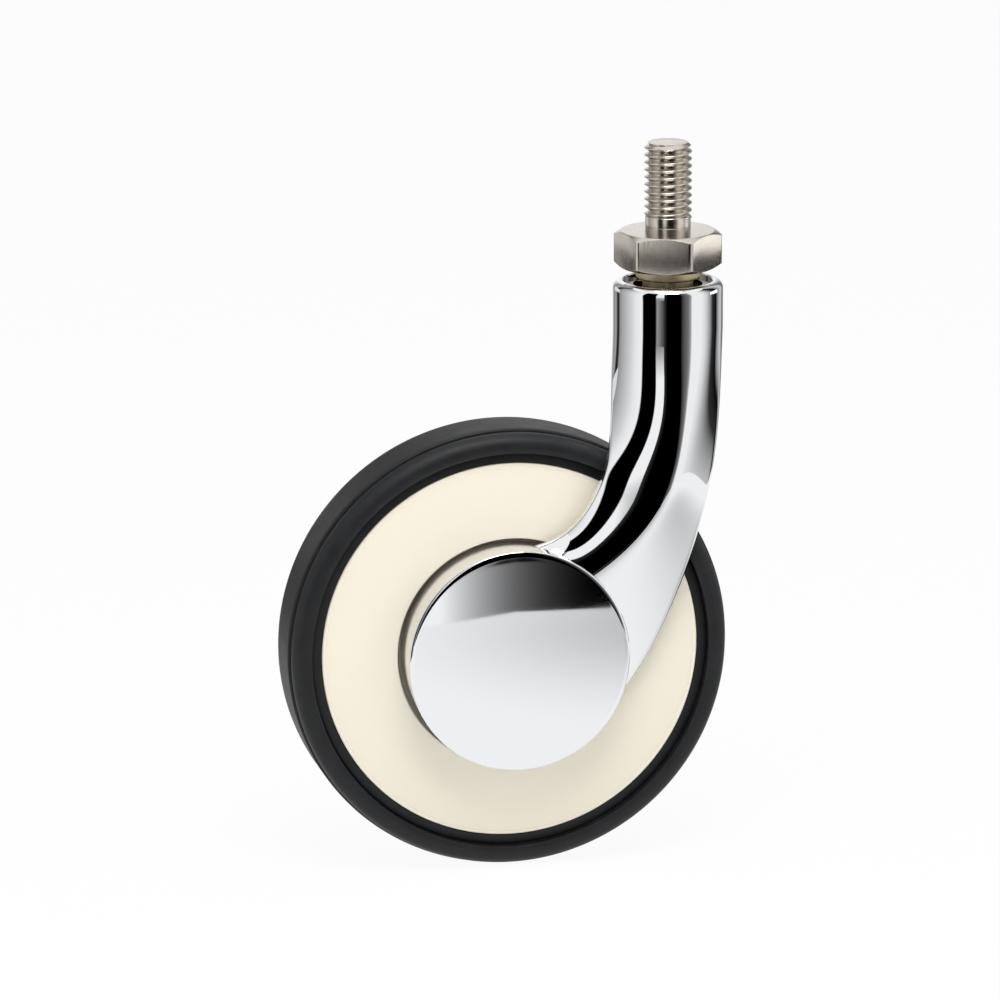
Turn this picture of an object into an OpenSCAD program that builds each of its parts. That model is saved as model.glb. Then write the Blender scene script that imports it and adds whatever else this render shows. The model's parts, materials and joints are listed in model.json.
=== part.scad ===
// Single-arm furniture castor: threaded stem, swivel bearings, cast arm, hub cap and tyred wheel.
// Millimetres, +Z up. The origin is on the stem axis, on the seat face that meets the furniture.
// The wheel trails towards -X and the arm passes it on the -Y side.

/* [Stem] */
// Outside diameter of the threaded stem
stem_d = 8; // [6.5:0.5:10]
// Height of the stem above the seat face
stem_h = 15; // [10:1:40]
// Bevel round the stem's end
stem_bevel = 0.6; // [0.2:0.1:1]
// Height of the plain shank between the thread and the seat face
shank_h = 2.6; // [1:0.2:4]
// How far the plain shank stands inside the thread's crests
shank_relief = 0.18; // [0.05:0.01:0.4]
// Hexagon size across its flats
hex_af = 16; // [14:0.5:18]
// Height of the hexagon
hex_h = 6.2; // [4.8:0.2:9]
// Turn of the hexagon's first corner from +X
hex_turn = 42.3; // [0:0.1:60]
// Slope of the bevels above and below the hexagon
hex_bevel_angle = 30; // [15:1:40]
// How far the hexagon's flat end circles stay inside its flats
hex_bevel_in = 0.15; // [0.1:0.05:0.6]
// Diameter of the collar under the hexagon
collar_d = 10.8; // [10:0.1:11.4]
// Height of the collar
collar_h = 1.9; // [1.2:0.1:4]
// Rounding of the collar's lower edge
collar_round = 0.4; // [0.1:0.1:0.8]

/* [Swivel bearings] */
// Bore of each swivel bearing
swivel_bore = 6; // [5.6:0.2:6.4]
// Outside diameter of each swivel bearing
swivel_od = 15; // [14.6:0.2:15.4]
// Width of each swivel bearing
swivel_w = 5; // [4.6:0.2:6]
// Ball diameter in the swivel bearings
swivel_ball_d = 2.4; // [2:0.1:2.6]
// Number of balls in each swivel bearing
swivel_balls = 9; // [7:1:10]
// Length of the spacer between the two inner rings
swivel_spacer_l = 3; // [2:0.5:5]
// Wall of that spacer
swivel_spacer_wall = 1.2; // [0.6:0.1:1.3]
// Thickness of the circlip that holds the bearings in the arm
clip_t = 1; // [0.6:0.1:1.4]
// Radial width of that circlip
clip_w = 2; // [1.4:0.1:2.2]
// Depth of its groove in the housing wall
clip_groove = 0.35; // [0.2:0.05:0.5]
// Thickness of the retaining ring on the spindle
spindle_ring_t = 0.7; // [0.5:0.1:1]
// Depth of the retaining ring's groove in the spindle
spindle_groove = 0.4; // [0.2:0.05:0.6]
// Radial height of the retaining ring outside the spindle
spindle_ring_w = 1.8; // [1:0.1:2.4]

/* [Arm] */
// Diameter of the arm's upright tube
tube_d = 18.6; // [18:0.1:20]
// Gap between the collar and the plane of the tube's rim
rim_gap = 0.35; // [0.2:0.05:1.2]
// Rounding of the rim's outer edge
rim_round = 1.4; // [0.4:0.1:1.5]
// Depth of the circlip's top under the rim
clip_depth = 0.75; // [0.4:0.05:2]
// Straight length of the tube under its rim
tube_straight = 7.6; // [6:0.2:10]
// Air below the spindle's end in the tube
spindle_air = 1; // [0.5:0.1:2]
// Horizontal trail from the stem axis to the wheel's axle
trail = 28.5; // [26:0.5:31]
// Drop from the seat face to the wheel's axle
drop = 69.6; // [66:0.2:75]
// Diameter of the boss round the axle
boss_d = 37.7; // [34:0.1:38.5]
// Thickness of the arm beside the wheel
arm_t = 5.6; // [4.6:0.1:7]
// Gap between the tyre's side and the arm
arm_gap = 0.7; // [0.4:0.1:1.5]
// Depth of the boss inside the hole of the wheel, behind the tyre's side plane
boss_in = 3.4; // [2.6:0.1:3.8]
// Pull of the arm's inner edge down from the tube
inner_pull_top = 16.2; // [12:0.1:20]
// How far right of the axle the inner edge bends
inner_bend_x = 14.4; // [12:0.1:16]
// How far above the axle the inner edge bends
inner_bend_z = 25.9; // [23:0.1:28]
// Pull of the inner edge where it meets the boss
inner_pull_boss = 12; // [8:0.1:15]
// Pull of the outer edge down from the tube
outer_pull_top = 6.4; // [4:0.1:12]
// How far right of the axle the outer edge bends
outer_bend_x = 34.2; // [32:0.1:36]
// How far above the axle the outer edge bends
outer_bend_z = 19.4; // [16:0.1:23]
// Pull of the outer edge where it meets the boss
outer_pull_boss = 21; // [16:0.1:25]
// Angle on the boss where the outer edge lands, below the level of the axle
outer_land = 68; // [60:1:75]
// Squareness of the arm's section beside the wheel, where 2 is an ellipse
arm_square = 2.2; // [2:0.1:3]
// Share of the arm's thickness behind its widest line beside the wheel
arm_ridge = 0.25; // [0.2:0.05:0.5]
// Shift of the arm's crest towards its inner edge, in parts of half the arm's width
arm_skew = 0.2; // [0:0.05:0.4]

/* [Hub] */
// Thickness of the cap disc on the boss
cap_t = 0.8; // [0.6:0.1:1.4]
// How far the cap's edge stands in front of the arm
cap_stand = 0.55; // [0.3:0.05:0.7]
// Rise of the cap's dome
cap_dome = 0.25; // [0.1:0.05:0.6]
// Rounding of the cap's edge
cap_round = 0.25; // [0.1:0.05:0.35]
// Diameter of the cap's spigot
spigot_d = 18; // [16:0.5:22]
// Length of the cap's spigot
spigot_l = 2; // [1:0.1:2.4]
// Wall of the cap's spigot
spigot_wall = 1.2; // [0.8:0.1:1.8]
// Diameter of the axle pin's head
pin_head_d = 13; // [10:0.2:14]
// Height of the axle pin's head
pin_head_h = 1.9; // [1.2:0.1:2.2]
// Thickness of the boss under the pin's head
boss_web = 6.4; // [5.6:0.1:7]
// Height of the boss's nose that meets the near inner ring
nose_h = 0.5; // [0.3:0.1:0.8]
// Thickness of the washer at the far end of the axle pin
washer_t = 0.4; // [0.2:0.1:0.8]
// Thickness of the retaining ring on the axle pin
axle_ring_t = 0.7; // [0.5:0.1:1]
// Depth of that ring's groove in the pin
axle_groove = 0.45; // [0.2:0.05:0.6]
// Radial height of that ring outside the pin
axle_ring_w = 1.7; // [1:0.1:2.2]
// Length of the pin past its retaining ring
pin_end = 0.4; // [0.4:0.1:1]

/* [Wheel bearings] */
// Bore of each wheel bearing
wheel_bore = 8; // [7.6:0.2:8.4]
// Outside diameter of each wheel bearing
wheel_od = 16; // [15.6:0.2:16.6]
// Width of each wheel bearing
wheel_bw = 4; // [3.6:0.1:4.4]
// Ball diameter in the wheel bearings
wheel_ball_d = 2; // [1.7:0.1:2.2]
// Number of balls in each wheel bearing
wheel_balls = 11; // [9:1:13]
// Length of the spacer between the inner rings
wheel_spacer_l = 1.6; // [1:0.1:2]
// Wall of that spacer
wheel_spacer_wall = 0.9; // [0.6:0.1:1.2]

/* [Wheel] */
// Diameter of the wheel over the tread
tyre_d = 75.4; // [72:0.2:76]
// Width of the tyre
tyre_w = 14.6; // [14:0.1:16]
// Height of the tyre outside the core's face
tyre_h = 5.5; // [4.5:0.1:6.5]
// How far the edge of the core's face stands inside the tyre's side
face_in = 1.35; // [1:0.05:1.8]
// Rise of the face from its edge to its hole
face_dome = 1.1; // [0.8:0.05:1.3]
// Gap round the boss in the core's hole
hole_gap = 0.6; // [0.3:0.05:1]
// Rounding of the core's edges
core_round = 0.3; // [0.1:0.05:0.5]
// Gap between the boss and the core's floor round it
floor_gap = 0.6; // [0.4:0.05:0.9]
// Depth of the channel round the core that holds the tyre
channel_d = 2.4; // [1.5:0.1:4]
// Thickness of the core's lip beside that channel
lip_t = 1.6; // [1:0.1:2]
// Width of the ledge between the wheel bearings, in from their outside
ledge_in = 0.9; // [0.5:0.1:1.1]
// Width of the tyre's flat ring beside the core
ring_w = 1.8; // [1.2:0.1:2.4]
// How far that ring lies behind the core's edge
ring_in = 0.2; // [0.1:0.05:0.4]
// Rounding of the bead beside that ring
bead_round = 2.2; // [1.6:0.1:2.6]
// How far the near bead stays below the tread
bead_drop = 0.4; // [0.2:0.05:0.8]
// Distance of the tread groove from the tyre's side
groove_at = 2.9; // [2.6:0.1:4]
// Width of the tread groove
groove_w = 0.6; // [0.3:0.05:1]
// Depth of the tread groove below the bead
groove_depth = 0.8; // [0.3:0.05:1.4]
// Rounding of the tread's far edge
tread_round = 2.6; // [1.5:0.1:3]
// Diameter of the hub cover on the far side
cover_d = 25; // [22:0.5:30]
// Wall of the hub cover
cover_t = 0.9; // [0.6:0.1:1.4]
// Air between the pin's end and the hub cover
cover_air = 0.3; // [0.3:0.05:1]
// Rounding of the hub cover's edge
cover_round = 0.6; // [0.2:0.1:0.8]

/* [Bearing fits] */
// Radial clearance round each ball
ball_gap = 0.05; // [0.03:0.01:0.08]
// Radial clearance between a cage and the rings
cage_gap = 0.3; // [0.2:0.02:0.36]
// Clearance between a ball and its cage pocket
pocket_gap = 0.07; // [0.05:0.01:0.12]
// Thickness of a bearing's cage past its balls
cage_wall = 0.3; // [0.2:0.05:0.4]
// Thickness of a bearing shield
shield_t = 0.2; // [0.1:0.05:0.25]
// How far a shield is set in from the bearing's face
shield_in = 0.15; // [0.1:0.05:0.25]
// Gap between a shield and the inner ring
shield_gap = 0.2; // [0.12:0.02:0.3]

/* [Hidden] */
$fn = 96;
over = 0.5;
// Bevel on the hidden ends of the spindle and the axle pin
end_bevel = 0.3;

// Levels down the stem axis
collar_z = -hex_h - collar_h;
rim_z = collar_z - rim_gap;
clip_z = rim_z - clip_depth;
upper_z = clip_z - clip_t;
lower_z = upper_z - swivel_w - swivel_spacer_l;
ledge_z = lower_z - swivel_w;
spindle_end_z = ledge_z - spindle_ring_t - spindle_air;
cavity_z = spindle_end_z - spindle_air;
tube_end_z = rim_z - tube_straight;

// Parts of a bearing's radial depth taken by the rings' lands
inner_land = 0.32;
outer_land_share = 0.32;
swivel_depth = (swivel_od - swivel_bore) / 2;
swivel_inner_r = swivel_bore / 2 + inner_land * swivel_depth;
neck_in = 0.15;
neck_r = swivel_inner_r - neck_in;
housing_ledge = 1.2;
cavity_r = swivel_od / 2 - housing_ledge;

// Distances from the wheel's middle plane, positive towards the viewer's side
side_y = tyre_w / 2;
face_y = side_y - face_in;
hole_y = face_y + face_dome;
arm_back_y = side_y + arm_gap;
arm_front_y = arm_back_y + arm_t;
cap_face_y = arm_front_y + cap_stand;
seat_y = cap_face_y - cap_t;
boss_back_y = side_y - boss_in;
hub_near_y = boss_back_y - nose_h;
ring_far_y = hub_near_y - 2 * wheel_bw - wheel_spacer_l;
head_seat_y = boss_back_y + boss_web;
pin_end_y = ring_far_y - washer_t - axle_ring_t - pin_end;
floor_y = boss_back_y - floor_gap;

boss_r = boss_d / 2;
tube_r = tube_d / 2;
tread_r = tyre_d / 2;
face_r = tread_r - tyre_h;
hole_r = boss_r + hole_gap;
cover_r = cover_d / 2;
groove_mid_y = side_y - groove_at;
cover_out_y = pin_end_y - cover_air - cover_t;

// Points of a round stretch, from angle a0 to a1 about a centre
function arc(c, r, a0, a1, n = 12) =
    [for (i = [0:n]) c + r * [cos(a0 + (a1 - a0) * i / n), sin(a0 + (a1 - a0) * i / n)]];

// Point at t on the curve that its control points p pull
function bezier(p, t) =
    len(p) == 1 ? p[0] : bezier([for (i = [0:len(p) - 2]) mix(p[i], p[i + 1], t)], t);

function clamped(x) = max(0, min(1, x));
function ease(x) = let (c = clamped(x)) c * c * c * (c * (6 * c - 15) + 10);
function mix(a, b, x) = a + (b - a) * x;
function signed_pow(x, e) = sign(x) * pow(abs(x), e);

module ring(r_out, r_in, h) {
    difference() {
        cylinder(r = r_out, h = h);
        translate([0, 0, -over]) cylinder(r = r_in, h = h + 2 * over);
    }
}

// A frame on the axle, its Z axis towards the viewer's side of the wheel
module on_axle(y = 0) {
    translate([-trail, 0, -drop]) rotate([90, 0, 0]) translate([0, 0, y]) children();
}

// Bearings: each is drawn from 0 up to its width

module inner_ring(bore, od, w, ball_d) {
    depth = (od - bore) / 2;
    pitch_r = (od + bore) / 4;
    difference() {
        ring(bore / 2 + inner_land * depth, bore / 2, w);
        translate([0, 0, w / 2]) rotate_extrude() translate([pitch_r, 0]) circle(r = ball_d / 2 + ball_gap);
    }
}

module outer_ring(bore, od, w, ball_d) {
    depth = (od - bore) / 2;
    pitch_r = (od + bore) / 4;
    difference() {
        ring(od / 2, od / 2 - outer_land_share * depth, w);
        translate([0, 0, w / 2]) rotate_extrude() translate([pitch_r, 0]) circle(r = ball_d / 2 + ball_gap);
    }
}

module ball_set(bore, od, w, ball_d, count) {
    for (i = [0:count - 1])
        rotate([0, 0, 360 * i / count]) translate([(od + bore) / 4, 0, w / 2]) sphere(d = ball_d);
}

module ball_cage(bore, od, w, ball_d, count) {
    depth = (od - bore) / 2;
    half = ball_d / 2 + pocket_gap + cage_wall;
    difference() {
        translate([0, 0, w / 2 - half])
            ring(od / 2 - outer_land_share * depth - cage_gap, bore / 2 + inner_land * depth + cage_gap, 2 * half);
        for (i = [0:count - 1])
            rotate([0, 0, 360 * i / count]) translate([(od + bore) / 4, 0, w / 2])
                rotate([0, 90, 0]) cylinder(d = ball_d + 2 * pocket_gap, h = depth, center = true);
    }
}

module shield_pair(bore, od, w) {
    depth = (od - bore) / 2;
    for (z = [shield_in, w - shield_in - shield_t])
        translate([0, 0, z])
            ring(od / 2 - outer_land_share * depth, bore / 2 + inner_land * depth + shield_gap, shield_t);
}

// An open ring that snaps into a shaft's groove
module open_ring(r_in, r_out, t) {
    difference() {
        ring(r_out, r_in, t);
        translate([0, -0.85 * r_in, -over]) cube([r_out + over, 1.7 * r_in, t + 2 * over]);
    }
}

module threaded_stem() {
    stem_r = stem_d / 2;
    hex_seat_r = hex_af / 2 - hex_bevel_in;
    hex_corner_r = hex_af / 2 / cos(30);
    bevel_r = hex_corner_r + over;
    bevel_h = (bevel_r - hex_seat_r) * tan(hex_bevel_angle);
    bore_r = swivel_bore / 2;
    color("#b5ab9c") {
        difference() {
            union() {
                rotate_extrude() polygon([
                    [0, -over], [stem_r - shank_relief, -over], [stem_r - shank_relief, shank_h],
                    [stem_r, shank_h], [stem_r, stem_h - stem_bevel],
                    [stem_r - stem_bevel, stem_h], [0, stem_h]
                ]);
                intersection() {
                    translate([0, 0, -hex_h]) rotate([0, 0, hex_turn]) cylinder(r = hex_corner_r, h = hex_h, $fn = 6);
                    rotate_extrude() polygon([
                        [0, 0], [hex_seat_r, 0], [bevel_r, -bevel_h],
                        [bevel_r, bevel_h - hex_h], [hex_seat_r, -hex_h], [0, -hex_h]
                    ]);
                }
                rotate_extrude() polygon(concat(
                    [[0, over - hex_h], [collar_d / 2, over - hex_h]],
                    arc([collar_d / 2 - collar_round, collar_z + collar_round], collar_round, 0, -90, 6),
                    [
                        [neck_r, collar_z], [neck_r, upper_z], [bore_r, upper_z],
                        [bore_r, spindle_end_z + end_bevel], [bore_r - end_bevel, spindle_end_z],
                        [0, spindle_end_z]
                    ]
                ));
            }
            translate([0, 0, ledge_z - spindle_ring_t])
                ring(bore_r + over, bore_r - spindle_groove, spindle_ring_t);
        }
    }
}

module swivel_inner_ring_upper() {
    color("#8f9296") translate([0, 0, upper_z - swivel_w])
        inner_ring(swivel_bore, swivel_od, swivel_w, swivel_ball_d);
}

module swivel_inner_ring_lower() {
    color("#8f9296") translate([0, 0, lower_z - swivel_w])
        inner_ring(swivel_bore, swivel_od, swivel_w, swivel_ball_d);
}

module swivel_spacer() {
    color("#77797c") translate([0, 0, lower_z])
        ring(swivel_bore / 2 + swivel_spacer_wall, swivel_bore / 2, swivel_spacer_l);
}

module spindle_retaining_ring() {
    bore_r = swivel_bore / 2;
    color("#4a443c") translate([0, 0, ledge_z - spindle_ring_t])
        open_ring(bore_r - spindle_groove, bore_r + spindle_ring_w, spindle_ring_t);
}

module swivel_outer_ring_upper() {
    color("#8f9296") translate([0, 0, upper_z - swivel_w])
        outer_ring(swivel_bore, swivel_od, swivel_w, swivel_ball_d);
}

module swivel_outer_ring_lower() {
    color("#8f9296") translate([0, 0, lower_z - swivel_w])
        outer_ring(swivel_bore, swivel_od, swivel_w, swivel_ball_d);
}

module swivel_balls_upper() {
    color("#c9ccd0") translate([0, 0, upper_z - swivel_w])
        ball_set(swivel_bore, swivel_od, swivel_w, swivel_ball_d, swivel_balls);
}

module swivel_balls_lower() {
    color("#c9ccd0") translate([0, 0, lower_z - swivel_w])
        ball_set(swivel_bore, swivel_od, swivel_w, swivel_ball_d, swivel_balls);
}

module swivel_cage_upper() {
    color("#6b4a2b") translate([0, 0, upper_z - swivel_w])
        ball_cage(swivel_bore, swivel_od, swivel_w, swivel_ball_d, swivel_balls);
}

module swivel_cage_lower() {
    color("#6b4a2b") translate([0, 0, lower_z - swivel_w])
        ball_cage(swivel_bore, swivel_od, swivel_w, swivel_ball_d, swivel_balls);
}

module swivel_shields_upper() {
    color("#7d7466") translate([0, 0, upper_z - swivel_w]) shield_pair(swivel_bore, swivel_od, swivel_w);
}

module swivel_shields_lower() {
    color("#7d7466") translate([0, 0, lower_z - swivel_w]) shield_pair(swivel_bore, swivel_od, swivel_w);
}

// The circlip's gap and its two plier eyes face the back of the arm
module housing_circlip() {
    r_out = swivel_od / 2 + clip_groove;
    eye_r = 1.1;
    eye_at = r_out - clip_w + 0.1;
    gap_angle = 16;
    eye_angle = gap_angle + 6;
    gap_turn = 110;
    color("#4a3c28") translate([0, 0, upper_z]) rotate([0, 0, gap_turn])
        difference() {
            union() {
                difference() {
                    ring(r_out, r_out - clip_w, clip_t);
                    translate([0, 0, -over]) linear_extrude(height = clip_t + 2 * over)
                        polygon([
                            [0, 0], 2 * r_out * [cos(gap_angle), sin(gap_angle)],
                            2 * r_out * [cos(gap_angle), -sin(gap_angle)]
                        ]);
                }
                for (s = [-1, 1])
                    rotate([0, 0, s * eye_angle]) translate([eye_at, 0, 0]) cylinder(r = eye_r, h = clip_t);
            }
            for (s = [-1, 1])
                rotate([0, 0, s * eye_angle]) translate([eye_at, 0, -over])
                    cylinder(r = eye_r / 2, h = clip_t + 2 * over);
        }
}

// The arm's outline in the plane of the wheel: x to the right, y up
land_in = 0.7;
land_r = boss_r - land_in;
axle = [-trail, -drop];
inner_edge = [
    [-tube_r, tube_end_z],
    [-tube_r, tube_end_z - inner_pull_top],
    axle + [inner_bend_x, inner_bend_z],
    axle + [inner_pull_boss, land_r],
    axle + [0, land_r]
];
land = [cos(outer_land), -sin(outer_land)];
outer_edge = [
    [tube_r, tube_end_z],
    [tube_r, tube_end_z - outer_pull_top],
    axle + [outer_bend_x, outer_bend_z],
    axle + land_r * land + outer_pull_boss * [-land[1], land[0]],
    axle + land_r * land
];

// Where the section's back and front begin and end their passage to the side of the wheel
back_start = 0.09;
back_end = 0.43;
front_start = 0.02;
front_end = 0.57;
shape_end = 0.5;
arm_rings = 40;
arm_sides = 36;
skin_in = 0.02;

function arm_point(t, a) =
    let (
        left = bezier(inner_edge, t),
        right = bezier(outer_edge, t),
        back = mix(tube_r, -arm_back_y, ease((t - back_start) / (back_end - back_start))),
        front = mix(-tube_r, -arm_front_y, ease((t - front_start) / (front_end - front_start))),
        shaped = ease(t / shape_end),
        ridge = mix(back, front, mix(0.5, arm_ridge, shaped)),
        e = 2 / mix(2, arm_square, shaped),
        shrink = 1 - skin_in / tube_r,
        level = signed_pow(cos(a), e),
        across = shrink * (level - mix(0, arm_skew, shaped) * (1 - level * level)),
        along = shrink * signed_pow(sin(a), e),
        place = (left + right) / 2 + across * (right - left) / 2
    )
    [place[0], ridge + along * (along > 0 ? back - ridge : ridge - front), place[1]];

// A loft of super-elliptic sections: round under the tube, wide and domed beside the boss
module arm_loft() {
    sections = concat([-1], [for (i = [0:arm_rings]) i / arm_rings]);
    n = arm_sides;
    last = len(sections) - 1;
    points = [
        for (t = sections, k = [0:n - 1])
            t < 0 ? arm_point(0, 360 * k / n) + [0, 0, over] : arm_point(t, 360 * k / n)
    ];
    walls = [
        for (i = [0:last - 1], k = [0:n - 1])
            let (a = i * n + k, b = i * n + (k + 1) % n)
                each [[a, b, a + n], [b, b + n, a + n]]
    ];
    ends = [[for (k = [n - 1:-1:0]) k], [for (k = [0:n - 1]) last * n + k]];
    polyhedron(points = points, faces = concat(walls, ends), convexity = 6);
}

// The stepped bore that takes the bearings, their circlip and the spindle's end
module housing_bore() {
    housing_r = swivel_od / 2;
    rotate_extrude() polygon([
        [0, cavity_z], [cavity_r, cavity_z], [cavity_r, ledge_z], [housing_r, ledge_z],
        [housing_r, upper_z], [housing_r + clip_groove, upper_z], [housing_r + clip_groove, clip_z],
        [housing_r, clip_z], [housing_r, rim_z + over], [0, rim_z + over]
    ]);
}

// The stepped bore along the axle: pin, pin head, cap spigot and the cap's own seat
head_gap = 0.3;
spigot_air = 0.1;
nose_wall = 1.2;
module boss_bore() {
    pin_r = wheel_bore / 2;
    head_r = pin_head_d / 2 + head_gap;
    pocket_y = seat_y - spigot_l - spigot_air;
    on_axle() rotate_extrude() polygon([
        [0, hub_near_y - over], [pin_r, hub_near_y - over], [pin_r, head_seat_y], [head_r, head_seat_y],
        [head_r, pocket_y], [spigot_d / 2, pocket_y], [spigot_d / 2, seat_y],
        [boss_r + skin_in, seat_y], [boss_r + skin_in, seat_y + 4 * over], [0, seat_y + 4 * over]
    ]);
}

module arm() {
    nose_r = wheel_bore / 2 + nose_wall;
    color("#d9dbde")
        difference() {
            union() {
                rotate_extrude() polygon(concat(
                    [[0, tube_end_z], [tube_r, tube_end_z]],
                    arc([tube_r - rim_round, rim_z - rim_round], rim_round, 0, 90, 8),
                    [[0, rim_z]]
                ));
                arm_loft();
                on_axle() rotate_extrude() polygon([
                    [0, hub_near_y], [nose_r, hub_near_y], [nose_r, boss_back_y],
                    [boss_r, boss_back_y], [boss_r, seat_y], [0, seat_y]
                ]);
            }
            housing_bore();
            boss_bore();
        }
}

module boss_cap() {
    dome_r = (pow(boss_r - cap_round, 2) + pow(cap_dome, 2)) / (2 * cap_dome);
    edge_z = cap_t - cap_round;
    spigot_in_r = spigot_d / 2 - spigot_wall;
    color("#e4e6e8") on_axle(seat_y)
        rotate_extrude() polygon(concat(
            [
                [0, 0], [spigot_in_r, 0], [spigot_in_r, -spigot_l],
                [spigot_d / 2, -spigot_l], [spigot_d / 2, 0], [boss_r, 0]
            ],
            arc([boss_r - cap_round, edge_z], cap_round, 0, 90, 6),
            [for (i = [11:-1:0])
                let (r = (boss_r - cap_round) * i / 12)
                    [r, cap_t + cap_dome - dome_r + sqrt(dome_r * dome_r - r * r)]]
        ));
}

module axle_pin() {
    pin_r = wheel_bore / 2;
    ring_y = ring_far_y - washer_t - axle_ring_t;
    color("#9b9ea2")
        difference() {
            union() {
                on_axle(pin_end_y) cylinder(r1 = pin_r - end_bevel, r2 = pin_r, h = end_bevel);
                on_axle(pin_end_y + end_bevel) cylinder(r = pin_r, h = head_seat_y - pin_end_y);
                on_axle(head_seat_y) cylinder(d = pin_head_d, h = pin_head_h);
            }
            on_axle(ring_y) ring(pin_r + over, pin_r - axle_groove, axle_ring_t);
        }
}

module axle_washer() {
    color("#8a8d91") on_axle(ring_far_y - washer_t)
        ring(wheel_bore / 2 + axle_ring_w, wheel_bore / 2, washer_t);
}

module axle_retaining_ring() {
    pin_r = wheel_bore / 2;
    color("#4a443c") on_axle(ring_far_y - washer_t - axle_ring_t)
        open_ring(pin_r - axle_groove, pin_r + axle_ring_w, axle_ring_t);
}

// Places a wheel bearing: 0 is the near one, 1 the far one
module at_wheel_bearing(i) {
    on_axle(hub_near_y - wheel_bw - i * (wheel_bw + wheel_spacer_l)) children();
}

module wheel_inner_ring_near() {
    color("#8f9296") at_wheel_bearing(0) inner_ring(wheel_bore, wheel_od, wheel_bw, wheel_ball_d);
}

module wheel_inner_ring_far() {
    color("#8f9296") at_wheel_bearing(1) inner_ring(wheel_bore, wheel_od, wheel_bw, wheel_ball_d);
}

module wheel_spacer() {
    color("#77797c") on_axle(hub_near_y - wheel_bw - wheel_spacer_l)
        ring(wheel_bore / 2 + wheel_spacer_wall, wheel_bore / 2, wheel_spacer_l);
}

module wheel_outer_ring_near() {
    color("#8f9296") at_wheel_bearing(0) outer_ring(wheel_bore, wheel_od, wheel_bw, wheel_ball_d);
}

module wheel_outer_ring_far() {
    color("#8f9296") at_wheel_bearing(1) outer_ring(wheel_bore, wheel_od, wheel_bw, wheel_ball_d);
}

module wheel_balls_near() {
    color("#c9ccd0") at_wheel_bearing(0) ball_set(wheel_bore, wheel_od, wheel_bw, wheel_ball_d, wheel_balls);
}

module wheel_balls_far() {
    color("#c9ccd0") at_wheel_bearing(1) ball_set(wheel_bore, wheel_od, wheel_bw, wheel_ball_d, wheel_balls);
}

module wheel_cage_near() {
    color("#6b4a2b") at_wheel_bearing(0) ball_cage(wheel_bore, wheel_od, wheel_bw, wheel_ball_d, wheel_balls);
}

module wheel_cage_far() {
    color("#6b4a2b") at_wheel_bearing(1) ball_cage(wheel_bore, wheel_od, wheel_bw, wheel_ball_d, wheel_balls);
}

module wheel_shields_near() {
    color("#7d7466") at_wheel_bearing(0) shield_pair(wheel_bore, wheel_od, wheel_bw);
}

module wheel_shields_far() {
    color("#7d7466") at_wheel_bearing(1) shield_pair(wheel_bore, wheel_od, wheel_bw);
}

// Height of the core's domed face at radius r, for r from the hole to the face's edge
function dome_y(r) = face_y + face_dome * (1 - pow((r - hole_r) / (face_r - hole_r), 2));

module wheel_core() {
    hub_r = wheel_od / 2;
    channel_y = face_y - lip_t;
    channel_r = face_r - channel_d;
    ledge_r = hub_r - ledge_in;
    ledge_near_y = hub_near_y - wheel_bw;
    ledge_far_y = ledge_near_y - wheel_spacer_l;
    edge_y = dome_y(face_r - core_round) - core_round;
    steps = 10;
    near_face = [
        for (i = [0:steps])
            let (r = mix(hole_r + core_round, face_r - core_round, i / steps)) [r, dome_y(r)]
    ];
    far_face = [
        for (i = [steps:-1:0])
            let (r = mix(cover_r, face_r - core_round, i / steps))
                [r, -face_y - face_dome * (1 - pow((r - cover_r) / (face_r - cover_r), 2))]
    ];
    color("#ece5d3") on_axle()
        rotate_extrude() polygon(concat(
            [[hub_r, floor_y], [hole_r, floor_y], [hole_r, dome_y(hole_r + core_round) - core_round]],
            near_face,
            [
                [face_r, edge_y], [face_r, channel_y], [channel_r, channel_y],
                [channel_r, -channel_y], [face_r, -channel_y], [face_r, -edge_y]
            ],
            far_face,
            [
                [cover_r, ring_far_y], [hub_r, ring_far_y], [hub_r, ledge_far_y],
                [ledge_r, ledge_far_y], [ledge_r, ledge_near_y], [hub_r, ledge_near_y]
            ]
        ));
}

module tyre() {
    channel_y = face_y - lip_t;
    channel_r = face_r - channel_d;
    ring_y = face_y - ring_in;
    crease_r = face_r + ring_w;
    bead_r = tread_r - bead_drop;
    bead_c = [bead_r - bead_round, side_y - bead_round];
    groove_r = bead_r - groove_depth;
    color("#262626") on_axle()
        rotate_extrude() polygon(concat(
            [
                [channel_r, -channel_y], [channel_r, channel_y], [face_r, channel_y],
                [face_r, ring_y], [crease_r, ring_y]
            ],
            arc(bead_c, bead_round, 105, 0),
            [
                [bead_r, groove_mid_y + groove_w / 2], [groove_r, groove_mid_y],
                [bead_r, groove_mid_y - groove_w / 2]
            ],
            arc([tread_r - bead_drop, groove_mid_y - groove_w / 2 - bead_drop], bead_drop, 90, 0, 4),
            arc([tread_r - tread_round, tread_round - side_y], tread_round, 0, -100),
            [[crease_r, -ring_y], [face_r, -ring_y], [face_r, -channel_y]]
        ));
}

// A shallow cup pressed into the far side, over the pin's end
module hub_cover() {
    wall_r = cover_r - cover_t;
    inner_y = cover_out_y + cover_t;
    color("#ece5d3") on_axle()
        rotate_extrude() polygon(concat(
            [[0, inner_y], [0, cover_out_y]],
            arc([cover_r - cover_round, cover_out_y + cover_round], cover_round, -90, 0, 6),
            [[cover_r, ring_far_y], [wall_r, ring_far_y], [wall_r, inner_y]]
        ));
}

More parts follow.
